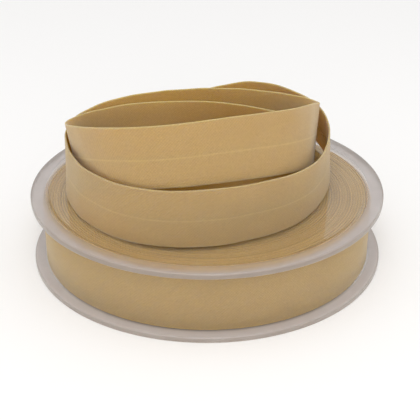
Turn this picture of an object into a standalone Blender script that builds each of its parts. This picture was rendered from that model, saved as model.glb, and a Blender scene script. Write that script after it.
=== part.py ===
"""Roll of bias binding: a flanged plastic reel, the wound binding, and its loose end coiled on top.

Units are metres and +Z is up. The origin is on the reel's axis, on the surface that the reel stands on.
Turn angles are counted clockwise seen from above, from the back of the reel (+Y).
"""

import math

import bmesh
import bpy
import numpy as np

MM = 0.001

# The reel: two like mouldings, each a flange with half of the hub, the upper one turned over.
REEL_HEIGHT = 30.6 * MM
FLANGE_RADIUS = 75 * MM
RIM_WIDTH = 7 * MM
RIM_THICKNESS = 2.4 * MM
RIM_ROUNDING = 0.7 * MM
PLATE_THICKNESS = 1.4 * MM
STEP_SLOPE = 0.6 * MM
HUB_RADIUS = 23 * MM
BORE_RADIUS = 20 * MM
REEL_SEGMENTS = 96

# The binding: single-fold bias tape, 25 mm wide as it is wound.
TAPE_WIDTH = 25 * MM
TAPE_THICKNESS = 1 * MM
WOUND_RADIUS = 70.3 * MM
ROLL_SEGMENTS = 90
GAP = 0.3 * MM
SIDE_GAP = 0.4 * MM
STANDING_GAP = 0.5 * MM

# Where the loose end stands: in the groove between the flanges, or on the recessed upper plate.
IN_GROOVE = (RIM_THICKNESS + SIDE_GAP) / MM
ON_PLATE = (REEL_HEIGHT - RIM_THICKNESS + PLATE_THICKNESS + STANDING_GAP) / MM

# Over the rim of the upper flange the tape bends at this height, clear of the rim's edge.
BEND_HEIGHT = REEL_HEIGHT + 1 * MM
LAST_BEND_TURN = 60

# Each row is a section of the loose end: its lower edge's turn angle, distance from the axis and
# height, and how far its upper edge leans outwards (less than zero leans inwards).
TAPE_COLUMNS = ("turn_deg", "radius_mm", "foot_mm", "lean_deg")
TAPE_ROWS = (
    # off the roll's outer turn, out of the groove at the back left
    (-60, 69.9, IN_GROOVE, 0),
    (-50, 71.2, IN_GROOVE, 0),
    (-40, 75.2, IN_GROOVE, 0),
    # up the outside of the upper flange, and in over its rim at the back right
    (-25, 76.8, 7, -1),
    (0, 76.3, 20.5, -16),
    (20, 77.3, 30, -25),
    (35, 73, 32.5, -27),
    (50, 66, 32, -18),
    (70, 57.5, 30.5, -7),
    # the lower loop, clockwise round the front, standing on the plate
    (90, 52, ON_PLATE, -2),
    (130, 49.5, ON_PLATE, 6),
    (170, 51.5, ON_PLATE, 2),
    (210, 57, ON_PLATE, 4),
    (250, 59, ON_PLATE, -1),
    (290, 61, ON_PLATE, -5),
    # the upper loop: on the plate at the back, lifting to its highest at the front
    (330, 59, ON_PLATE, -13),
    (370, 58, ON_PLATE, -13),
    (410, 55, 31.5, -3),
    (450, 45, 41, 2),
    (490, 48.5, 52, -11),
    (530, 48.5, 55, -11),
    (570, 56.5, 52.5, 0),
    (610, 54, 40, 8),
    # the free end, turned in behind the upper loop and round inside the front of the lower one
    (650, 54, 30.5, 2),
    (690, 42, ON_PLATE, -6),
    (730, 45.5, ON_PLATE, -21),
    (775, 49, ON_PLATE, -20),
    (810, 43.5, ON_PLATE, -6),
    (850, 45.5, ON_PLATE, -2),
    (890, 47, ON_PLATE, -2),
    (935, 48, ON_PLATE, -1),
)
STATION_STEP = 6
ACROSS = 5

TAN_CLOTH = (0.46, 0.32, 0.15, 1)
MILKY_PLASTIC = (0.62, 0.59, 0.6, 1)


def clear_scene():
    for obj in list(bpy.data.objects):
        bpy.data.objects.remove(obj, do_unlink=True)


def material(name, colour, roughness, metallic=0.0):
    made = bpy.data.materials.new(name)
    made.use_nodes = True
    shader = made.node_tree.nodes["Principled BSDF"]
    shader.inputs["Base Color"].default_value = colour
    shader.inputs["Roughness"].default_value = roughness
    shader.inputs["Metallic"].default_value = metallic
    made.diffuse_color = colour
    return made


def add_object(name, data, finish, parent):
    data.materials.append(finish)
    obj = bpy.data.objects.new(name, data)
    obj.parent = parent
    bpy.context.scene.collection.objects.link(obj)
    return obj


def on_circle(turn_deg, radius):
    """Plan points at these turn angles and distances from the reel's axis."""
    turn = np.radians(turn_deg)
    return np.stack([radius * np.sin(turn), radius * np.cos(turn)], axis=-1)


def rim_corner(radius, height, start_deg, end_deg, steps=3):
    """Profile points of one rounded corner of the rim, on a quarter circle about (radius, height)."""
    angles = np.radians(np.linspace(start_deg, end_deg, steps))
    return [
        (radius + RIM_ROUNDING * math.cos(a), height + RIM_ROUNDING * math.sin(a))
        for a in angles
    ]


def half_reel_profile():
    """Section of one moulding: plate recessed under a raised rim, with half of the hub's tube."""
    recess = RIM_THICKNESS - PLATE_THICKNESS
    rim_inner = FLANGE_RADIUS - RIM_WIDTH
    corner = FLANGE_RADIUS - RIM_ROUNDING
    hub_top = REEL_HEIGHT / 2 - GAP / 2
    profile = [(BORE_RADIUS, recess), (rim_inner - STEP_SLOPE, recess), (rim_inner, 0)]
    profile += rim_corner(corner, RIM_ROUNDING, -90, 0)
    profile += rim_corner(corner, RIM_THICKNESS - RIM_ROUNDING, 0, 90)
    profile += [(HUB_RADIUS, RIM_THICKNESS), (HUB_RADIUS, hub_top), (BORE_RADIUS, hub_top)]
    return profile


def half_reel_mesh():
    """The section, spun once round the reel's axis."""
    bm = bmesh.new()
    points = [bm.verts.new((radius, 0, height)) for radius, height in half_reel_profile()]
    edges = [bm.edges.new(pair) for pair in zip(points, points[1:] + points[:1])]
    bmesh.ops.spin(
        bm, geom=points + edges, axis=(0, 0, 1), cent=(0, 0, 0),
        angle=math.tau, steps=REEL_SEGMENTS, use_merge=True,
    )
    bmesh.ops.remove_doubles(bm, verts=bm.verts, dist=1e-6)
    bmesh.ops.recalc_face_normals(bm, faces=bm.faces)
    mesh = bpy.data.meshes.new("half_reel")
    bm.to_mesh(mesh)
    bm.free()
    mesh.shade_smooth()
    mesh.set_sharp_from_angle(angle=math.radians(40))
    return mesh


def add_reel(finish, parent):
    mesh = half_reel_mesh()
    add_object("reel_lower_half", mesh, finish, parent)
    upper = bpy.data.objects.new("reel_upper_half", mesh)
    upper.parent = parent
    upper.location = (0, 0, REEL_HEIGHT)
    upper.rotation_euler = (math.pi, 0, 0)
    bpy.context.scene.collection.objects.link(upper)


def add_spline(curve, plan_points):
    spline = curve.splines.new("POLY")
    spline.points.add(len(plan_points) - 1)
    for point, (x, y) in zip(spline.points, plan_points):
        point.co = (x, y, 0, 1)
    spline.use_cyclic_u = True
    spline.use_smooth = True


def add_roll(finish, parent):
    """The wound turns as one ring, its outside a spiral that steps in where the loose end leaves."""
    first_turn = TAPE_ROWS[0][0]
    turned = np.linspace(0, 360, ROLL_SEGMENTS + 1)
    step = TAPE_THICKNESS + GAP
    outline = on_circle(first_turn + turned, WOUND_RADIUS - step + step * turned / 360)
    hole = on_circle(turned[:-1], np.full(ROLL_SEGMENTS, HUB_RADIUS + GAP))
    curve = bpy.data.curves.new("wound_binding", "CURVE")
    curve.dimensions = "2D"
    curve.fill_mode = "BOTH"
    curve.extrude = TAPE_WIDTH / 2
    add_spline(curve, outline)
    add_spline(curve, hole)
    roll = add_object("wound_binding", curve, finish, parent)
    roll.location = (0, 0, REEL_HEIGHT / 2)


def natural_spline(knots, values, at):
    """A smooth curve through the values at the knots, with no bend left at either end."""
    step = np.diff(knots)
    slope = np.diff(values) / step
    count = len(knots)
    system = np.eye(count)
    load = np.zeros(count)
    for i in range(1, count - 1):
        system[i, i - 1 : i + 2] = (step[i - 1], 2 * (step[i - 1] + step[i]), step[i])
        load[i] = 6 * (slope[i] - slope[i - 1])
    bend = np.linalg.solve(system, load)
    i = np.clip(np.searchsorted(knots, at) - 1, 0, count - 2)
    left, right, width = at - knots[i], knots[i + 1] - at, step[i]
    ends = (values[i] * right + values[i + 1] * left) / width
    return ends - left * right / 6 * (
        bend[i] * (1 + right / width) + bend[i + 1] * (1 + left / width)
    )


def unit(vectors):
    return vectors / np.linalg.norm(vectors, axis=-1, keepdims=True)


def across_path(direction, along):
    """The part of a direction that lies square across the path."""
    return unit(direction - (direction * along).sum(axis=-1, keepdims=True) * along)


def loose_tape_points():
    """A grid of points on the middle of the loose end: one row a station, foot to upper edge."""
    rows = dict(zip(TAPE_COLUMNS, np.array(TAPE_ROWS, float).T))
    knots = rows["turn_deg"]
    clear_of_step = math.degrees(2 * GAP / WOUND_RADIUS)
    turns = np.append(np.arange(knots[0], knots[-1], STATION_STEP), knots[-1])
    turns[0] += clear_of_step
    radius = natural_spline(knots, rows["radius_mm"], turns) * MM
    height = natural_spline(knots, rows["foot_mm"], turns) * MM
    lowest = np.where(turns < LAST_BEND_TURN, IN_GROOVE, ON_PLATE) * MM
    height = np.maximum(height, lowest)
    lean = np.radians(natural_spline(knots, rows["lean_deg"], turns))[:, None]

    foot = np.column_stack([on_circle(turns, radius), height])
    along = unit(np.gradient(foot, axis=0))
    up = np.array([0.0, 0.0, 1.0])
    outwards = unit(np.cross(up, along))
    upright = across_path(np.broadcast_to(up, foot.shape), along)
    leaning = across_path(np.cos(lean) * up + np.sin(lean) * outwards, along)

    below_rim = np.clip((BEND_HEIGHT - height) / upright[:, 2], 0, TAPE_WIDTH)
    below_rim = np.where(turns < LAST_BEND_TURN, below_rim, 0)[:, None, None]
    across = np.linspace(0, TAPE_WIDTH, ACROSS)[None, :, None]
    return (
        foot[:, None]
        + np.minimum(across, below_rim) * upright[:, None]
        + np.maximum(across - below_rim, 0) * leaning[:, None]
    )


def add_loose_tape(finish, parent):
    points = loose_tape_points()
    stations, across = points.shape[:2]
    bm = bmesh.new()
    grid = [[bm.verts.new(point) for point in row] for row in points]
    for i in range(stations - 1):
        for j in range(across - 1):
            bm.faces.new((grid[i][j], grid[i + 1][j], grid[i + 1][j + 1], grid[i][j + 1]))
    mesh = bpy.data.meshes.new("loose_tape")
    bm.to_mesh(mesh)
    bm.free()
    mesh.shade_smooth()
    tape = add_object("loose_tape", mesh, finish, parent)
    thickness = tape.modifiers.new("Thickness", "SOLIDIFY")
    thickness.thickness = TAPE_THICKNESS
    thickness.offset = 0


def main():
    clear_scene()
    whole = bpy.data.objects.new("roll_of_bias_binding", None)
    bpy.context.scene.collection.objects.link(whole)
    plastic = material("milky_plastic", MILKY_PLASTIC, 0.25)
    cloth = material("tan_binding", TAN_CLOTH, 0.85)
    add_reel(plastic, whole)
    add_roll(cloth, whole)
    add_loose_tape(cloth, whole)


main()
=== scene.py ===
"""Roll of bias binding: a milky plastic reel, its wound turns and the loose end coiled on top.

Laid out as a Blender add-on. Sizes are in metres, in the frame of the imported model: +Z up, the origin
on the reel's axis where it stands. Turn angles run clockwise seen from above, from the back (+Y).
"""

import math

import bpy
import numpy as np
from bpy.props import FloatProperty, FloatVectorProperty, IntProperty, PointerProperty
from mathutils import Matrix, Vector


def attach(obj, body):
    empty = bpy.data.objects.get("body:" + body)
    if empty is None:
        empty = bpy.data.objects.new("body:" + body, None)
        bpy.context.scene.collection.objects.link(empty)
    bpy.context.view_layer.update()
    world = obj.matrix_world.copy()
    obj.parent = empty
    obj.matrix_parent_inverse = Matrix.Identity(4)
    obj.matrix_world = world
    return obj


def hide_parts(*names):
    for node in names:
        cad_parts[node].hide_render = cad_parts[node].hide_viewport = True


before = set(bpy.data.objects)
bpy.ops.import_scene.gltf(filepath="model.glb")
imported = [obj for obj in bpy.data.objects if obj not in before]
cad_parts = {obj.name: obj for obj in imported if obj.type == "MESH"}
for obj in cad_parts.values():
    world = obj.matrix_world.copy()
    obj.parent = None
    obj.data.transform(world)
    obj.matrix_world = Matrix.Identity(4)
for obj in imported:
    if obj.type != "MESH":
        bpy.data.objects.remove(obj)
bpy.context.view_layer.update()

bl_info = {
    "name": "Roll of Bias Binding",
    "version": (1, 0, 0),
    "blender": (4, 5, 0),
    "location": "View3D > Sidebar > Binding",
    "description": "A milky plastic reel of folded bias binding, its loose end coiled on top",
    "category": "Object",
}

MM = 0.001
UP = np.array([0.0, 0.0, 1.0])

# Sections of the loose end: its lower edge's turn angle, distance from the axis and height, and how
# far its upper edge leans outwards (less than zero leans inwards). They are the ones of the solid,
# but that its foot stands a little lower on the plate.
IN_GROOVE = 2.8
ON_PLATE = 29.85
END_COLUMNS = ("turn_deg", "radius_mm", "foot_mm", "lean_deg")
END_ROWS = (
    # off the roll's outer turn, out of the groove at the back left
    (-60, 69.9, IN_GROOVE, 0),
    (-50, 71.2, IN_GROOVE, 0),
    (-40, 75.2, IN_GROOVE, 0),
    # up the outside of the upper flange, and in over its rim at the back right
    (-25, 76.8, 7, -1),
    (0, 76.3, 20.5, -16),
    (20, 77.3, 30, -25),
    (35, 73, 32.5, -27),
    (50, 66, 32, -18),
    (70, 57.5, 30.5, -7),
    # the lower loop, clockwise round the front, standing on the plate
    (90, 52, ON_PLATE, -2),
    (130, 49.5, ON_PLATE, 6),
    (170, 51.5, ON_PLATE, 2),
    (210, 57, ON_PLATE, 4),
    (250, 59, ON_PLATE, -1),
    (290, 61, ON_PLATE, -5),
    # the upper loop: on the plate at the back, lifting to its highest at the front
    (330, 59, ON_PLATE, -13),
    (370, 58, ON_PLATE, -13),
    (410, 55, 31.5, -3),
    (450, 45, 41, 2),
    (490, 48.5, 52, -11),
    (530, 48.5, 55, -11),
    (570, 56.5, 52.5, 0),
    (610, 54, 40, 8),
    # the free end, turned in behind the upper loop and round inside the front of the lower one
    (650, 54, 30.5, 2),
    (690, 42, ON_PLATE, -6),
    (730, 45.5, ON_PLATE, -21),
    (775, 49, ON_PLATE, -20),
    (810, 43.5, ON_PLATE, -6),
    (850, 45.5, ON_PLATE, -2),
    (890, 47, ON_PLATE, -2),
    (935, 48, ON_PLATE, -1),
)
# The tape bends over the rim at this height with this rounding, up to this turn.
BEND_HEIGHT = 31.6 * MM
BEND_ROUNDING = 1.2 * MM
LAST_BEND_TURN = 60
# The roll's mesh ends at this turn. Light can't pass from it to the loose end's, so next to the join
# it goes in only this share of its depth, and hardly any dark line shows there.
LEAVES_ROLL_AT = -60
JOIN_DEPTH = 0.02
# Off the roll, the tape springs up to its loose thickness over this turn.
RELAXES_OVER = 25


def linear(hex_colour):
    """An sRGB hex colour as the linear values that Blender's colours hold."""
    srgb = [int(hex_colour[i : i + 2], 16) / 255 for i in (1, 3, 5)]
    return [c / 12.92 if c <= 0.04045 else ((c + 0.055) / 1.055) ** 2.4 for c in srgb]


def length(name, description, default):
    """A setting in metres."""
    return FloatProperty(
        name=name, description=description, default=default, unit="LENGTH", precision=5
    )


def fraction(name, description, default):
    """A setting from 0 to 1."""
    return FloatProperty(
        name=name, description=description, default=default, min=0, max=1, subtype="FACTOR"
    )


def amount(name, description, default, unit="NONE"):
    """A setting from 0 up."""
    return FloatProperty(name=name, description=description, default=default, min=0, unit=unit)


def spot(name, description, default):
    """A point, in metres."""
    return FloatVectorProperty(
        name=name, description=description, default=default, subtype="XYZ", unit="LENGTH"
    )


def colour(name, description, hex_colour):
    """A colour, from its sRGB hex code."""
    return FloatVectorProperty(
        name=name, description=description, default=linear(hex_colour), subtype="COLOR", min=0, max=1
    )


class ReelSettings(bpy.types.PropertyGroup):
    """Sizes and finish of the plastic reel."""

    height: length("Height", "Over both flanges", 30.6 * MM)
    radius: length("Flange radius", "From the axis to the edge of a flange", 75 * MM)
    rim_width: length("Rim width", "Width of the raised rim", 7 * MM)
    rim_thickness: length("Rim thickness", "Thickness of a flange at its rim", 2.4 * MM)
    rim_rounding: length("Rim rounding", "Rounding of the rim's outer edges", 0.7 * MM)
    plate_thickness: length("Plate thickness", "Thickness of a flange inside its rim", 1.4 * MM)
    step_slope: length("Step slope", "Width of the slope from plate to rim", 1.6 * MM)
    step_rounding: length("Step rounding", "Rounding at both ends of that slope", 0.55 * MM)
    hub_radius: length("Hub radius", "Outside of the hub's tube", 23 * MM)
    bore_radius: length("Bore radius", "Inside of the hub's tube", 20 * MM)
    plastic: colour("Plastic", "Milky colour of the plastic", "#BCB3AF")
    # Painted shade: the rim's outer edge gets a darker colour, as it is lit less than the faces above.
    painted_edge_shade: colour("Painted edge shade", "Colour of the rim's outer edge", "#93867A")
    plate_haze: fraction("Plate haze", "How much each face of the thin plate hides", 0.04)
    rim_haze: fraction("Rim haze", "How much the outer face of the thick rim hides", 0.35)
    edge_haze: fraction("Edge haze", "How much the rim's edge hides, and its inner face off the roll", 0.85)
    milky_radius: length("Milky radius", "Where the rim goes milky, at the roll's edge", 69 * MM)
    milky_fade: length("Milky fade", "How far it takes to go milky, each way", 1.2 * MM)
    lower_offset: length("Lower offset", "How much further out the lower half goes milky", 0.9 * MM)
    rim_fade: length("Rim fade", "How far onto the rim its outer face is still clearer", 2.6 * MM)
    gloss: amount("Gloss", "Reflection, where 1 is that of one face", 1.6)
    segments: IntProperty(name="Segments", description="Steps round the reel", default=360, min=48)


class BindingSettings(bpy.types.PropertyGroup):
    """Sizes and finish of the binding."""

    width: length("Width", "Width as folded", 25 * MM)
    ply: length("Ply", "Thickness of one layer of the cloth", 0.3 * MM)
    ply_gap: length("Gap between layers", "Between the face and the folded edges", 0.06 * MM)
    pressed: fraction("Pressed", "Thickness in the roll as a share of the loose thickness", 0.8)
    seam: fraction("Meeting line", "Where the raw edges meet, as a share of the width", 0.47)
    pitch: length("Turn pitch", "Distance from one wound turn to the next", 0.555 * MM)
    turn_wander: length("Turn wander", "How far a wound turn wanders sideways", 0.018 * MM)
    foot_wander: length("Foot wander", "How far a wound turn's foot wanders up and down", 0.07 * MM)
    turn_sink: length("Turn sink", "Half of how much deeper every second turn sits in front", 0.13 * MM)
    turn_squeeze: length("Turn squeeze", "How far a turn's edges are pressed in, in places", 0.35 * MM)
    loose_wave: length("Loose wave", "How far the loose end waves in and out", 0.09 * MM)
    join_fade: length("Join fade", "How far the loose end takes to look loose", 12 * MM)
    thread: length("Thread spacing", "Distance between two threads as drawn", 0.85 * MM)
    cloth: colour("Cloth", "Colour of the cloth", "#A98F66")
    # Painted highlight: the loose end's folds are drawn paler, as they catch the light.
    loose_fold_highlight: colour("Loose fold highlight", "Paler colour of the folds of the loose end", "#A5916F")
    # Painted light: the roll's folds are drawn lighter, for light that the plate holds back.
    roll_fold_light: colour("Roll fold light", "Deeper colour of the folds in the roll", "#BF9A63")
    # Painted light: the back is drawn lighter, as the inside of the coil is lit more.
    painted_back_light: amount("Back", "Lightness of the back as a share of the face's", 1.2)
    # Painted shade: the deepest turns are drawn darker, as their neighbours shade them.
    deep_turn_shade: amount("Deep turns", "Lightness of the deepest turns as a share of the face's", 0.78)
    light_reach: FloatVectorProperty(
        name="Light reach", description="Red, green and blue light's shares of the depths below",
        default=(1.0, 0.8, 0.3), min=0, max=1,
    )
    pressed_depth: length("Pressed depth", "How deep light goes into the wound turns", 2 * MM)
    loose_depth: length("Loose depth", "How deep light goes into the loose end", 3.5 * MM)


class StageSettings(bpy.types.PropertyGroup):
    """Floor, lights and camera."""

    floor: colour("Floor", "Colour of the floor", "#FCFBFA")
    floor_reach: length("Floor reach", "From the middle to each side of the floor", 6)
    low_surround: amount("Low surround", "Strength of the white surround at eye level", 0.58)
    high_surround: amount("High surround", "Strength of the white surround overhead", 0.86)
    low_power: amount("Low light", "Power of the soft light below the camera", 3.3, "POWER")
    low_place: spot("Low light's place", "Where the low light stands", (0.1, -1.35, 0.35))
    high_power: amount("High light", "Power of the soft light above the camera", 6.8, "POWER")
    high_place: spot("High light's place", "Where the high light stands", (-0.05, -0.8, 1.15))
    lit: spot("Lights' target", "What both lights point at", (0, 0, 0.03))
    box_size: length("Light size", "Side of each square soft light", 0.8)
    eye: spot("Camera", "Where the camera stands", (0.001244, -0.40978, 0.23422))
    target: spot("Target", "What the camera looks at", (0.001244, 0, 0.017836))
    lens: amount("Lens", "Focal length on a 36 mm sensor", 91.39, "CAMERA")


def unit(vectors):
    """Vectors brought to a length of 1."""
    return vectors / np.linalg.norm(vectors, axis=-1, keepdims=True)


def square_to(direction, along):
    """The part of a direction that lies square across a path."""
    return unit(direction - (direction * along).sum(axis=-1, keepdims=True) * along)


def on_circle(turn, radius, height):
    """Points at turn angles in radians, clockwise from +Y: x = r sin turn, y = r cos turn, z = height."""
    return np.stack(np.broadcast_arrays(radius * np.sin(turn), radius * np.cos(turn), height), -1)


def uneven(at, wavelength, seed, waves=11):
    """Smooth wandering with a spread of 1: a sum of sines, each near the wavelength, at set phases."""
    random = np.random.default_rng(seed)
    pitch = math.tau / (wavelength * random.uniform(0.45, 1.9, waves))
    phase = random.uniform(0, math.tau, waves)
    return np.sin(np.asarray(at)[..., None] * pitch + phase).sum(-1) / math.sqrt(waves / 2)


def natural_spline(knots, values, at):
    """Cubic pieces through the values at the knots, with equal slope and bend where they join and no
    bend at either end. The bends come from one line of equations a knot."""
    step = np.diff(knots)
    slope = np.diff(values) / step
    system = np.diag(np.r_[1, 2 * (step[:-1] + step[1:]), 1])
    system += np.diag(np.r_[0, step[1:]], 1) + np.diag(np.r_[step[:-1], 0], -1)
    bend = np.linalg.solve(system, np.r_[0, 6 * np.diff(slope), 0])
    i = np.clip(np.searchsorted(knots, at) - 1, 0, len(knots) - 2)
    left, right, width = at - knots[i], knots[i + 1] - at, step[i]
    ends = (values[i] * right + values[i + 1] * left) / width
    return ends - left * right / 6 * (
        bend[i] * (1 + right / width) + bend[i + 1] * (1 + left / width)
    )


def carried_mesh(name, points, along, across, ring):
    """A closed mesh of a section carried along a path. points[i, j] is point j of the closed section
    at station i. A ring's last station joins its first, and other paths get a flat cap at each end.
    The map "cloth" holds the distances along the path and round the section, in metres."""
    stations, around = points.shape[:2]
    index = np.arange(stations * around).reshape(stations, around)
    rows = index if ring else index[:-1]
    after = np.roll(index, -1, axis=0)[: len(rows)]
    quads = np.stack([rows, after, np.roll(after, -1, 1), np.roll(rows, -1, 1)], -1).reshape(-1, 4)

    at_row, at_point = np.meshgrid(np.arange(len(rows)), np.arange(around), indexing="ij")
    u = np.stack([along[at_row], along[at_row + 1], along[at_row + 1], along[at_row]], -1)
    v = np.stack(
        [across[at_point], across[at_point], across[at_point + 1], across[at_point + 1]], -1
    )
    uv = np.stack([u, v], -1).reshape(-1, 2)
    caps = np.empty(0, int)
    if not ring:
        caps = np.concatenate([index[0], index[-1][::-1]])
        ends = np.repeat(along[[0, -1]], around)
        uv = np.concatenate([uv, np.column_stack([ends, np.r_[across[:-1], across[:-1][::-1]]])])

    a, b, c, d = (points.reshape(-1, 3)[quads[:, k]] for k in range(4))
    volume = (np.cross(b - a, d - a) * a).sum() + (np.cross(d - c, b - c) * c).sum()
    corners = np.concatenate([quads.ravel(), caps]).astype(np.int32)
    sizes = np.r_[np.full(len(quads), 4), np.full(0 if ring else 2, around)]
    starts = np.r_[0, np.cumsum(sizes)[:-1]].astype(np.int32)

    mesh = bpy.data.meshes.new(name)
    mesh.vertices.add(stations * around)
    mesh.vertices.foreach_set("co", points.astype(np.float32).ravel())
    mesh.loops.add(len(corners))
    mesh.loops.foreach_set("vertex_index", corners)
    mesh.polygons.add(len(sizes))
    mesh.polygons.foreach_set("loop_start", starts)
    mesh.uv_layers.new(name="cloth")
    mesh.uv_layers["cloth"].data.foreach_set("uv", uv.astype(np.float32).ravel())
    mesh.update(calc_edges=True)
    if volume < 0:
        mesh.flip_normals()
    mesh.shade_smooth()
    return mesh


def mark(mesh, label, values):
    """Stores one value a vertex on a mesh, for its material to read."""
    layer = mesh.attributes.new(label, "FLOAT", "POINT")
    layer.data.foreach_set("value", values.astype(np.float32))


def add_piece(mesh, finish, node):
    """Shows a mesh in place of one CAD node, riding on the frame."""
    if mesh.validate():
        raise RuntimeError(f"{mesh.name} had faces that Blender can't keep")
    mesh.materials.append(finish)
    piece = bpy.data.objects.new(mesh.name, mesh)
    bpy.context.scene.collection.objects.link(piece)
    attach(piece, "root")
    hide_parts(node)
    return piece


def reel_section(reel, milky_from):
    """One moulding's section as (radius, height) points, with its outer face down: a recessed plate,
    the raised rim and half of the hub's tube. Each corner c is a parabola that starts and ends its
    rounding t before and after c: (1-s)^2 (c - t in) + 2 s (1-s) c + s^2 (c + t out). The inner face
    has points on both sides of the radius that its milky part starts from."""
    recess = reel.rim_thickness - reel.plate_thickness
    rim_inner = reel.radius - reel.rim_width
    hub_top = reel.height / 2 - 0.15 * MM
    fade = reel.milky_fade
    # Corners with hardly any rounding hold the plate's flats, which stop this far from each bend.
    crisp = 0.15 * MM
    clear = 1.4 * MM
    corners = np.array([
        (reel.bore_radius, recess, 0.4 * MM),
        (reel.hub_radius + clear, recess, crisp),
        (rim_inner - reel.step_slope - clear, recess, crisp),
        (rim_inner - reel.step_slope, recess, reel.step_rounding),
        (rim_inner, 0, reel.step_rounding),
        (rim_inner + reel.rim_fade, 0, crisp),
        (reel.radius, 0, reel.rim_rounding),
        (reel.radius, reel.rim_thickness, reel.rim_rounding),
        (milky_from + fade, reel.rim_thickness, crisp),
        (milky_from - fade, reel.rim_thickness, crisp),
        (reel.hub_radius + clear, reel.rim_thickness, crisp),
        (reel.hub_radius, reel.rim_thickness, 0.25 * MM),
        (reel.hub_radius, hub_top, crisp),
        (reel.bore_radius, hub_top, crisp),
    ])
    corner, rounding = corners[:, None, :2], corners[:, None, 2:]
    into = unit(corner - np.roll(corner, 1, axis=0))
    out = np.roll(into, -1, axis=0)
    s = np.linspace(0, 1, 9)[None, :, None]
    bent = (
        (1 - s) ** 2 * (corner - rounding * into)
        + 2 * s * (1 - s) * corner
        + s**2 * (corner + rounding * out)
    )
    # One more point before and after each rounding keeps the smooth shading off the flats.
    flat = 1.6 * rounding
    return np.concatenate([corner - flat * into, bent, corner + flat * out], axis=1).reshape(-1, 2)


def reel_half_mesh(name, reel, turned_over):
    """The section turned round the axis: (r cos a, r sin a, h), or height - h when turned over. The
    attribute "haze" is how much each face hides: little where the plate lies on the roll, more on the rim's
    outer face, and most on the hub, the rim's edge and its inner face beyond the roll. The lower half goes
    milky further out, as the roll shades it. A second attribute is 1 on the rim's edge, which the material
    draws darker as painted shade."""
    milky_from = reel.milky_radius + (0 if turned_over else reel.lower_offset)
    section = reel_section(reel, milky_from)
    radius, height = section.T
    angle = np.linspace(0, math.tau, reel.segments, endpoint=False)[:, None]
    level = reel.height - height if turned_over else height
    points = np.stack(
        np.broadcast_arrays(radius * np.cos(angle), radius * np.sin(angle), level), -1
    )
    round_it = np.linspace(0, math.tau * reel.radius, reel.segments + 1)
    gaps = np.linalg.norm(np.diff(section, axis=0, append=section[:1]), axis=1)
    mesh = carried_mesh(name, points, round_it, np.r_[0, np.cumsum(gaps)], ring=True)

    slope_foot = reel.radius - reel.rim_width - reel.step_slope
    on_rim = np.clip((radius - slope_foot) / (reel.step_slope + reel.rim_fade), 0, 1)
    hub_fade = 0.5 * MM
    on_hub = np.clip((reel.hub_radius + hub_fade - radius) / hub_fade, 0, 1)
    off_roll = np.clip((radius - milky_from + reel.milky_fade) / (2 * reel.milky_fade), 0, 1)
    outside = reel.plate_haze + (reel.rim_haze - reel.plate_haze) * on_rim
    inside = reel.plate_haze + (reel.edge_haze - reel.plate_haze) * np.maximum(off_roll, on_hub)
    depth = np.clip(height / reel.rim_thickness, 0, 1)
    # Painted shade: 1 on the rim's outer edge, which the material draws darker.
    painted_edge_shade = np.clip((radius - reel.radius + reel.rim_rounding) / reel.rim_rounding, 0, 1)
    haze = np.maximum(outside + (inside - outside) * depth, reel.edge_haze * painted_edge_shade)
    mark(mesh, "haze", np.tile(haze, reel.segments))
    mark(mesh, "painted_edge_shade", np.tile(painted_edge_shade, reel.segments))
    return mesh


def face_then_back(across, through, width):
    """Each section point's distance on the cloth's map: up the face it is the height above the foot,
    and down the back twice the width less the height. One more value closes the section."""
    distance = np.where(through > 0, across, 2 * width - across)
    distance = distance + 2 * width * (distance < np.maximum.accumulate(distance) - width)
    return np.r_[distance, distance[0] + 2 * width]


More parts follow.
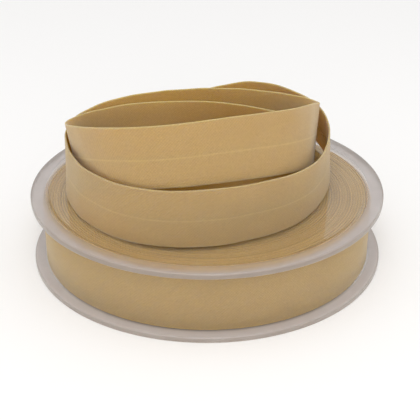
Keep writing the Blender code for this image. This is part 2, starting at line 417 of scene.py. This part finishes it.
def wound_mesh(name, binding, reel):
    """All wound turns as one spiral of the flattened tape. The tape's middle is at r = r0 + pitch * turn
    / 2 pi, where r0 leaves it on the loose end's radius at the outer end. It wanders a little, as does
    the height of its foot, and every second turn sits deeper, most of all at the front. The section is
    a rounded flat oblong. The attribute "shaded" is how deep a turn lies, and "light_depth" how far
    light goes in."""
    last_turn = math.tau + math.radians(LEAVES_ROLL_AT)
    outer = END_ROWS[0][1] * MM
    turns = (outer - reel.hub_radius - 0.5 * MM) / binding.pitch
    # The outermost turns, which show from the side, have finer steps.
    finer_from = -1.5 * math.tau
    inner_turns = np.arange(-turns * math.tau, finer_from, math.radians(5))
    turn = last_turn + np.r_[inner_turns, np.arange(finer_from, 1e-6, math.radians(3))]
    wound = turn[:, None]
    along = np.r_[0, np.cumsum(np.diff(turn) * outer)]

    # The unevenness fades out towards the place where the tape leaves the roll.
    settled = np.clip((last_turn - wound) / math.tau, 0, 1)
    radius = outer + binding.pitch * (wound - last_turn) / math.tau
    radius = radius + binding.turn_wander * uneven(wound, 2.1, 5) * settled
    # The edges are pressed in only where this wandering is strong.
    squeeze = binding.turn_squeeze * np.clip(np.abs(uneven(wound, 5.3, 11)) - 1.1, 0, 0.9) * settled
    sunk = binding.turn_sink * (1 - np.sin(wound / 2))
    foot = IN_GROOVE * MM + (binding.foot_wander * uneven(wound, 3.7, 7) - sunk) * settled

    # The section: distances above the foot in mm, and shares of half the thickness.
    wide, seam = binding.width / MM, binding.seam * binding.width / MM
    section = np.array([
        (0.12, 0.93), (seam - 0.8, 1), (seam, 1.16), (seam + 0.8, 1), (wide - 0.12, 0.93),
        (wide - 0.03, 0.5), (wide, 0), (wide - 0.03, -0.5), (wide - 0.12, -0.93),
        (wide / 2, -1), (0.12, -0.93), (0.03, -0.5), (0, 0), (0.03, 0.5),
    ])
    half = binding.pressed * (binding.ply + binding.ply_gap / 2)
    up, side = section[:, 0] * MM, section[:, 1] * half
    height = foot + up + squeeze * (1 - 2 * section[:, 0] / wide)
    points = on_circle(wound, radius + side, height)
    map_rows = face_then_back(up, side, binding.width)
    mesh = carried_mesh(name, points, along, map_rows, ring=False)

    near_join = np.clip((along[-1] - along) / binding.join_fade, JOIN_DEPTH, 1)
    mark(mesh, "light_depth", np.repeat(binding.pressed_depth * near_join, len(section)))
    inside = np.clip((last_turn - turn) / math.tau - 1, 0, 1)
    shaded = np.clip(0.5 - 0.4 * np.sin(turn / 2) + 0.25 * uneven(turn, 3.1, 19), 0, 1)
    mark(mesh, "shaded", np.repeat(shaded * inside, len(section)))
    return mesh


def loose_end_path(binding):
    """Stations each 2 degrees along the loose end: turn, foot point, upright and leaning directions,
    and how much of the width stands upright below the rim."""
    rows = dict(zip(END_COLUMNS, np.array(END_ROWS, float).T))
    knots = rows["turn_deg"]
    turn = np.linspace(knots[0], knots[-1], 1 + int((knots[-1] - knots[0]) / 2))
    radius = natural_spline(knots, rows["radius_mm"], turn) * MM
    height = natural_spline(knots, rows["foot_mm"], turn) * MM
    height = np.maximum(height, np.where(turn < LAST_BEND_TURN, IN_GROOVE, ON_PLATE) * MM)
    lean = np.radians(natural_spline(knots, rows["lean_deg"], turn))[:, None]
    foot = on_circle(np.radians(turn), radius, height)
    along = unit(np.gradient(foot, axis=0))
    outwards = unit(np.cross(UP, along))
    upright = square_to(np.broadcast_to(UP, foot.shape), along)
    leaning = square_to(np.cos(lean) * UP + np.sin(lean) * outwards, along)
    below = np.clip((BEND_HEIGHT - height) / upright[:, 2], 0, binding.width)
    return turn, foot, upright, leaning, np.where(turn < LAST_BEND_TURN, below, 0)


def folded_section(binding, half):
    """The folded strip's section as (across, through) pairs, through half at the face and -half at the
    back. The face runs up from the foot, both edges turn round to the back as half circles, and the
    raw edges lift a little and stop short of each other, with a slit one layer deep between them."""
    far, seam = binding.width - half, binding.seam * binding.width
    quarter = np.radians(np.linspace(75, -75, 7))
    # The points stand closer together at the meeting line than on the plain face and back.
    face = np.r_[half, 3 * MM, 6 * MM, 9 * MM, seam + np.array([-0.7, 0, 0.7]) * MM,
                 15 * MM, 18 * MM, 21.5 * MM, far]
    back_up = np.array([far, 21 * MM, 16 * MM, seam + 1.4 * MM, seam + 0.4 * MM])
    back_low = np.array([seam - 0.4 * MM, seam - 1.4 * MM, 8 * MM, 4 * MM, half])
    lifted = np.array([1, 1, 1, 1.1, 1.35])
    across = np.concatenate([
        face,
        far + half * np.cos(quarter),
        back_up, seam + np.array([0.3, -0.3]) * MM, back_low,
        half - half * np.cos(quarter),
    ])
    through = np.concatenate([
        np.where(np.abs(face - seam) < 0.1 * MM, 1.12, 1.0),
        np.sin(quarter),
        -lifted, [0, 0], -lifted[::-1],
        -np.sin(quarter),
    ])
    return across, through * half


def loose_end_mesh(name, binding):
    """The folded section carried along the loose end. A point at distance w across is foot + min(w, b)
    upright + max(w - b, 0) leaning, where b is the part below the rim, and it is then set off from
    that middle surface along its normal. Min and max are rounded, so that the cloth bends softly. The
    attribute "handled" is 0 at the roll and 1 past the join, and "light_depth" how far light goes in."""
    turn, foot, upright, leaning, below = loose_end_path(binding)
    half = binding.ply + binding.ply_gap / 2
    across, through = folded_section(binding, half)
    w, b = across[None, :, None], below[:, None, None]
    # The bend is sharper where little of the width stands below it.
    soft = BEND_ROUNDING * np.clip(below / (3 * MM), 0, 1)[:, None, None]
    over = (w - b + np.sqrt((w - b) ** 2 + soft**2)) / 2
    middle = foot[:, None] + (w - over) * upright[:, None] + over * leaning[:, None]
    onward = unit(np.gradient(middle, axis=0))
    share = over / np.maximum(w, 1e-9)
    upward = unit((1 - share) * upright[:, None] + share * leaning[:, None])
    normal = unit(np.cross(upward, onward))
    relaxed = np.clip((turn - turn[0]) / RELAXES_OVER, 0, 1)[:, None, None]
    thickness = binding.pressed + (1 - binding.pressed) * relaxed
    along = np.r_[0, np.cumsum(np.linalg.norm(np.diff(middle[:, 5], axis=0), axis=1))]
    wave = binding.loose_wave * relaxed[..., 0] * (
        uneven(along[:, None] + 0.4 * across, 0.031, 3) + uneven(along[:, None], 0.013, 4) / 3
    )
    points = middle + normal * (through[None, :, None] * thickness + wave[..., None])
    map_rows = face_then_back(across, through, binding.width)
    mesh = carried_mesh(name, points, along, map_rows, ring=False)

    loose_share = np.clip(along / binding.join_fade, 0, 1)
    mark(mesh, "loose_share", np.repeat(loose_share, len(across)))
    depth = binding.loose_depth * np.maximum(loose_share, JOIN_DEPTH)
    mark(mesh, "light_depth", np.repeat(depth, len(across)))
    return mesh, along[-1]


def add_node(tree, kind, inputs=None, **settings):
    """Adds a node with its settings, and fills inputs with values or other nodes' outputs."""
    node = tree.nodes.new("ShaderNode" + kind)
    for name, value in settings.items():
        setattr(node, name, value)
    for name, value in (inputs or {}).items():
        if isinstance(value, bpy.types.NodeSocket):
            tree.links.new(value, node.inputs[name])
        else:
            node.inputs[name].default_value = value
    return node


def new_material(name):
    """An empty material with a Principled shader on its output, and its node tree."""
    made = bpy.data.materials.new(name)
    made.use_nodes = True
    return made, made.node_tree, made.node_tree.nodes["Principled BSDF"]


def milky_plastic(reel):
    """Natural polypropylene, injection moulded in a polished tool. Unfilled, it scatters a little light
    all through: what touches it shows clearly, what is further off goes milky, and the skin is glossy."""
    made, tree, shader = new_material("milky_polypropylene")
    place = add_node(tree, "TexCoord").outputs["Object"]
    haze = add_node(tree, "Attribute", attribute_name="haze").outputs["Fac"]
    # Flow in the melt leaves clouds about 12 mm across.
    cloud = add_node(
        tree, "TexNoise", {"Vector": place, "Scale": 80, "Detail": 3, "Roughness": 0.55}
    ).outputs["Fac"]
    thicker = add_node(
        tree, "MapRange", {0: cloud, 1: 0.3, 2: 0.7, 3: 0.93, 4: 1.07}
    ).outputs[0]
    cloudy = add_node(
        tree, "Math", {0: haze, 1: thicker}, operation="MULTIPLY", use_clamp=True
    ).outputs[0]
    # Haze scatters light mostly onwards, so it blurs what lies behind but still lets its light in.
    path = add_node(tree, "LightPath").outputs
    lighting = add_node(
        tree, "Math", {0: path["Is Shadow Ray"], 1: path["Is Diffuse Ray"]}, operation="MAXIMUM"
    ).outputs[0]
    stops = add_node(tree, "MapRange", {0: lighting, 1: 0, 2: 1, 3: 1, 4: 0.3}).outputs[0]
    hides = add_node(tree, "Math", {0: cloudy, 1: stops}, operation="MULTIPLY")
    # The polished tool leaves a skin with a ripple about 1.5 mm long.
    ripple = add_node(
        tree, "TexNoise", {"Vector": place, "Scale": 650, "Detail": 2, "Roughness": 0.5}
    ).outputs["Fac"]
    skin = add_node(tree, "Bump", {"Height": ripple, "Strength": 0.02, "Distance": 0.2 * MM})
    # Painted shade: the rim's outer edge is drawn in a darker, greyer colour, as little light falls on it
    # from above.
    painted_edge_shade = add_node(tree, "Attribute", attribute_name="painted_edge_shade").outputs["Fac"]
    body = add_node(
        tree, "Mix", {6: (*reel.plastic, 1), 7: (*reel.painted_edge_shade, 1), 0: painted_edge_shade}, data_type="RGBA"
    ).outputs[2]
    tree.links.new(body, shader.inputs["Base Color"])
    tree.links.new(hides.outputs[0], shader.inputs["Alpha"])
    tree.links.new(skin.outputs[0], shader.inputs["Normal"])
    shader.inputs["Roughness"].default_value = 0.35
    shader.inputs["IOR"].default_value = 1.49
    shader.inputs["Subsurface Weight"].default_value = 0.7
    shader.inputs["Subsurface Radius"].default_value = (1.0, 0.95, 0.95)
    shader.inputs["Subsurface Scale"].default_value = 2.5 * MM
    # The gloss lies on the whole outer skin, clear or milky: a mirror on the thin plate, which cools
    # evenly, and a soft sheen on the thick rim, which sinks a little as it cools.
    polish = add_node(
        tree, "MapRange", {0: haze, 1: reel.plate_haze, 2: reel.rim_haze, 3: 0.03, 4: 0.45}
    ).outputs[0]
    gloss = add_node(tree, "BsdfGlossy", {"Roughness": polish, "Normal": skin.outputs[0]})
    mirrored = add_node(tree, "Fresnel", {"IOR": 1.49, "Normal": skin.outputs[0]}).outputs[0]
    inner = add_node(tree, "NewGeometry").outputs["Backfacing"]
    outer = add_node(tree, "Math", {0: 1.0, 1: inner}, operation="SUBTRACT").outputs[0]
    # A flange reflects from both of its faces, and here the outer one does so for the two.
    strength = add_node(
        tree, "MapRange",
        {0: haze, 1: reel.plate_haze, 2: reel.rim_haze, 3: reel.gloss, 4: reel.gloss / 2},
    ).outputs[0]
    both = add_node(tree, "Math", {0: outer, 1: strength}, operation="MULTIPLY").outputs[0]
    shine = add_node(tree, "Math", {0: mirrored, 1: both}, operation="MULTIPLY").outputs[0]
    skinned = add_node(
        tree, "MixShader", {0: shine, 1: shader.outputs[0], 2: gloss.outputs[0]}
    )
    tree.links.new(skinned.outputs[0], tree.nodes["Material Output"].inputs["Surface"])
    return made


def bias_cloth(binding):
    """Dyed cotton, plain woven, cut across at 45 degrees and pressed. Matt, with a faint diagonal grain and
    a little fuzz that pales it at a grazing angle. A pale line is painted where the raw edges lie, as light
    through the single layer there; the folds and the back are painted lighter and the deeper turns darker."""
    made, tree, shader = new_material("pressed_cotton_bias")
    flat = add_node(tree, "UVMap", uv_map="cloth").outputs[0]
    # Threads are about 0.35 mm apart in the real cloth and are drawn coarser, so that they show.
    threads = add_node(
        tree, "Mapping",
        {"Vector": flat, "Rotation": (0, 0, math.radians(45)),
         "Scale": (math.tau / binding.thread, math.tau / binding.thread, 1)},
    ).outputs[0]
    split = add_node(tree, "SeparateXYZ", {0: threads})
    warp = add_node(tree, "Math", {0: split.outputs[0]}, operation="SINE").outputs[0]
    weft = add_node(tree, "Math", {0: split.outputs[1]}, operation="SINE").outputs[0]
    # The threads that lean up to the right stand out more, and theirs is the grain that shows.
    weave = add_node(tree, "Math", {0: warp, 1: 0.35, 2: weft}, operation="MULTIPLY_ADD").outputs[0]
    # Slubs: thicker stretches of single threads, one way and the other.
    slub_ways = []
    for stretch in ((0.36, 0.09, 1), (0.09, 0.36, 1)):
        drawn_out = add_node(tree, "Mapping", {"Vector": threads, "Scale": stretch}).outputs[0]
        slub_ways.append(add_node(
            tree, "TexNoise", {"Vector": drawn_out, "Scale": 1, "Detail": 2, "Roughness": 0.6}
        ).outputs["Fac"])
    slubs = add_node(
        tree, "Math", {0: slub_ways[0], 1: slub_ways[1]}, operation="ADD"
    ).outputs[0]
    # Loose fibres and uneven dye: specks of about 1 mm on clouds of about 20 mm.
    patchy = add_node(
        tree, "TexNoise", {"Vector": flat, "Scale": 55, "Detail": 6, "Roughness": 0.75}
    ).outputs["Fac"]
    # Painted light: a fine pale line is drawn where the raw edges meet behind the face, as the single layer
    # there lets more light through. It is drawn on the loose end only.
    loose_share = add_node(tree, "Attribute", attribute_name="loose_share").outputs["Fac"]
    across = add_node(tree, "SeparateXYZ", {0: flat}).outputs[1]
    off_line = add_node(
        tree, "Math", {0: across, 1: binding.seam * binding.width}, operation="SUBTRACT"
    ).outputs[0]
    near_line = add_node(tree, "Math", {0: off_line}, operation="ABSOLUTE").outputs[0]
    seam_light_mask = add_node(tree, "MapRange", {0: near_line, 1: 0, 2: 0.55 * MM, 3: 1, 4: 0}).outputs[0]
    seam_light_line = add_node(tree, "Math", {0: seam_light_mask, 1: loose_share}, operation="MULTIPLY").outputs[0]
    # On the map the folds lie at every whole width. Painted light: the loose end's folds are drawn paler, a
    # painted highlight where they catch the light, and the roll's folds lighter and deeper in colour,
    # painted light that makes up for what the plate holds back.
    off_fold = add_node(
        tree, "Math", {0: across, 1: binding.width / 2}, operation="PINGPONG"
    ).outputs[0]
    reach = add_node(tree, "MapRange", {0: loose_share, 3: 0.4 * MM, 4: 0.9 * MM}).outputs[0]
    fold_light_mask = add_node(tree, "MapRange", {0: off_fold, 1: 0.15 * MM, 2: reach, 3: 1, 4: 0}).outputs[0]
    fold_light_tan = add_node(
        tree, "Mix", {6: (*binding.roll_fold_light, 1), 7: (*binding.loose_fold_highlight, 1), 0: loose_share}, data_type="RGBA"
    ).outputs[2]
    tan = add_node(
        tree, "Mix", {6: (*binding.cloth, 1), 7: fold_light_tan, 0: fold_light_mask}, data_type="RGBA"
    ).outputs[2]

    height = add_node(tree, "Math", {0: weave, 1: 0.5, 2: slubs}, operation="MULTIPLY_ADD").outputs[0]
    relief = add_node(tree, "Bump", {"Height": height, "Strength": 0.3, "Distance": 0.09 * MM})
    # Lightness: slubs, threads, wear and the painted pale line where the raw edges meet add up.
    shade = add_node(
        tree, "MapRange", {0: slubs, 1: 0.7, 2: 1.3, 3: 0.9, 4: 1.1}
    ).outputs[0]
    grain = add_node(tree, "Math", {0: weave, 1: 0.04, 2: shade}, operation="MULTIPLY_ADD").outputs[0]
    worn = add_node(tree, "MapRange", {0: patchy, 1: 0.3, 2: 0.7, 3: -0.03, 4: 0.03}).outputs[0]
    toned = add_node(tree, "Math", {0: grain, 1: worn}, operation="ADD").outputs[0]
    lined = add_node(
        tree, "Math", {0: seam_light_line, 1: 0.15, 2: toned}, operation="MULTIPLY_ADD"
    ).outputs[0]
    # Painted light: the back is drawn a little lighter, as the inside of the coil is lit more. It is the
    # map's second width.
    back = add_node(
        tree, "Math", {0: across, 1: binding.width}, operation="GREATER_THAN"
    ).outputs[0]
    side = add_node(tree, "MapRange", {0: back, 3: 1, 4: binding.painted_back_light}).outputs[0]
    # Painted shade: turns that lie deeper than their neighbours are drawn darker, as they lie in their
    # shade.
    deeper = add_node(tree, "Attribute", attribute_name="shaded").outputs["Fac"]
    shown = add_node(tree, "MapRange", {0: deeper, 3: side, 4: binding.deep_turn_shade}).outputs[0]
    lightness = add_node(tree, "Math", {0: lined, 1: shown}, operation="MULTIPLY").outputs[0]
    dyed = add_node(tree, "VectorMath", {0: tan, "Scale": lightness}, operation="SCALE").outputs[0]
    tree.links.new(dyed, shader.inputs["Base Color"])
    tree.links.new(relief.outputs[0], shader.inputs["Normal"])
    shader.inputs["Roughness"].default_value = 0.9
    shader.inputs["Specular IOR Level"].default_value = 0.25
    # Light that goes through two loose layers comes out deep tan, as inside the coil. Pressed turns
    # pass less of it.
    shader.inputs["Subsurface Weight"].default_value = 1
    shader.inputs["Subsurface Radius"].default_value = binding.light_reach
    depth = add_node(tree, "Attribute", attribute_name="light_depth").outputs["Fac"]
    tree.links.new(depth, shader.inputs["Subsurface Scale"])
    shader.inputs["Sheen Weight"].default_value = 0.2
    shader.inputs["Sheen Roughness"].default_value = 0.45
    shader.inputs["Sheen Tint"].default_value = (1, 0.95, 0.88, 1)
    return made


def white_surround(stage):
    """A white world, brighter overhead than at eye level."""
    world = bpy.data.worlds.new("white_surround")
    world.use_nodes = True
    tree = world.node_tree
    sight = add_node(tree, "TexCoord").outputs["Generated"]
    rise = add_node(tree, "SeparateXYZ", {0: sight}).outputs[2]
    glow = add_node(
        tree, "MapRange",
        {0: rise, 1: 0.0, 2: 1.0, 3: stage.low_surround, 4: stage.high_surround},
    ).outputs[0]
    # Seen directly, past the floor's far edge, the surround is as white as the floor.
    seen = add_node(tree, "LightPath").outputs["Is Camera Ray"]
    strength = add_node(tree, "Math", {0: glow, 1: seen}, operation="MAXIMUM").outputs[0]
    tree.nodes["Background"].inputs["Color"].default_value = (1, 1, 1, 1)
    tree.links.new(strength, tree.nodes["Background"].inputs["Strength"])
    return world


def aim(name, data, place, target):
    """Adds a lamp or camera at a place, looking at the target."""
    aimed = bpy.data.objects.new(name, data)
    aimed.location = place
    look = Vector(target) - Vector(place)
    aimed.rotation_euler = look.to_track_quat("-Z", "Y").to_euler()
    bpy.context.scene.collection.objects.link(aimed)
    return aimed


class BINDING_OT_mould_reel(bpy.types.Operator):
    """Makes the two halves of the reel, each a flange with half of the hub"""

    bl_idname = "binding.mould_reel"
    bl_label = "Mould the Reel"

    def execute(self, context):
        reel = context.scene.binding_reel
        plastic = milky_plastic(reel)
        for name, node, over in (
            ("lower_flange", "reel_lower_half", False),
            ("upper_flange", "reel_upper_half", True),
        ):
            add_piece(reel_half_mesh(name, reel, over), plastic, node)
        return {"FINISHED"}


class BINDING_OT_wind_binding(bpy.types.Operator):
    """Winds the binding on the hub as one spiral, turn on turn"""

    bl_idname = "binding.wind_binding"
    bl_label = "Wind the Binding"

    def execute(self, context):
        scene = context.scene
        mesh = wound_mesh("wound_turns", scene.binding_tape, scene.binding_reel)
        add_piece(mesh, bias_cloth(scene.binding_tape), "wound_binding")
        return {"FINISHED"}


class BINDING_OT_lay_loose_end(bpy.types.Operator):
    """Lays the loose end over the rim and in two loops on the upper flange"""

    bl_idname = "binding.lay_loose_end"
    bl_label = "Lay the Loose End"

    def execute(self, context):
        tape = context.scene.binding_tape
        mesh, long = loose_end_mesh("loose_end", tape)
        cloth = bpy.data.materials.get("pressed_cotton_bias") or bias_cloth(tape)
        piece = add_piece(mesh, cloth, "loose_tape")
        return {"FINISHED"}


class BINDING_OT_set_stage(bpy.types.Operator):
    """Sets the pale floor, the soft light and the camera"""

    bl_idname = "binding.set_stage"
    bl_label = "Set the Stage"

    def execute(self, context):
        scene, stage = context.scene, context.scene.binding_stage
        reach = stage.floor_reach
        mesh = bpy.data.meshes.new("floor")
        mesh.from_pydata(
            [(-reach, -reach, 0), (reach, -reach, 0), (reach, reach, 0), (-reach, reach, 0)],
            [], [(0, 1, 2, 3)],
        )
        floor = bpy.data.objects.new("floor", mesh)
        scene.collection.objects.link(floor)
        paper, _, shader = new_material("white_paper_sweep")
        shader.inputs["Base Color"].default_value = (*stage.floor, 1)
        shader.inputs["Roughness"].default_value = 0.9
        mesh.materials.append(paper)

        scene.world = white_surround(stage)
        for name, place, power in (
            ("low_soft_box", stage.low_place, stage.low_power),
            ("high_soft_box", stage.high_place, stage.high_power),
        ):
            lamp = bpy.data.lights.new(name, "AREA")
            lamp.energy = power
            lamp.size = stage.box_size
            aim(name, lamp, place, stage.lit)

        camera = bpy.data.cameras.new("camera")
        camera.sensor_width = 36
        camera.lens = stage.lens
        camera.clip_start = 0.01
        camera.clip_end = 50
        scene.camera = aim("camera", camera, stage.eye, stage.target)
        scene.view_settings.view_transform = "Standard"
        return {"FINISHED"}


class BINDING_PT_panel(bpy.types.Panel):
    """The steps that build the roll"""

    bl_idname = "BINDING_PT_panel"
    bl_label = "Roll of Bias Binding"
    bl_space_type = "VIEW_3D"
    bl_region_type = "UI"
    bl_category = "Binding"

    def draw(self, context):
        for step in OPERATORS:
            self.layout.operator(step.bl_idname)


SETTINGS = {
    "binding_reel": ReelSettings, "binding_tape": BindingSettings, "binding_stage": StageSettings,
}
OPERATORS = (
    BINDING_OT_mould_reel, BINDING_OT_wind_binding, BINDING_OT_lay_loose_end, BINDING_OT_set_stage,
)
CLASSES = (*SETTINGS.values(), *OPERATORS, BINDING_PT_panel)


def register():
    for made in CLASSES:
        bpy.utils.register_class(made)
    for name, group in SETTINGS.items():
        setattr(bpy.types.Scene, name, PointerProperty(type=group))


def unregister():
    for name in SETTINGS:
        delattr(bpy.types.Scene, name)
    for made in reversed(CLASSES):
        bpy.utils.unregister_class(made)


def main():
    """Builds the whole scene."""
    register()
    bpy.ops.binding.mould_reel()
    bpy.ops.binding.wind_binding()
    bpy.ops.binding.lay_loose_end()
    bpy.ops.binding.set_stage()


if __name__ == "__main__":
    main()
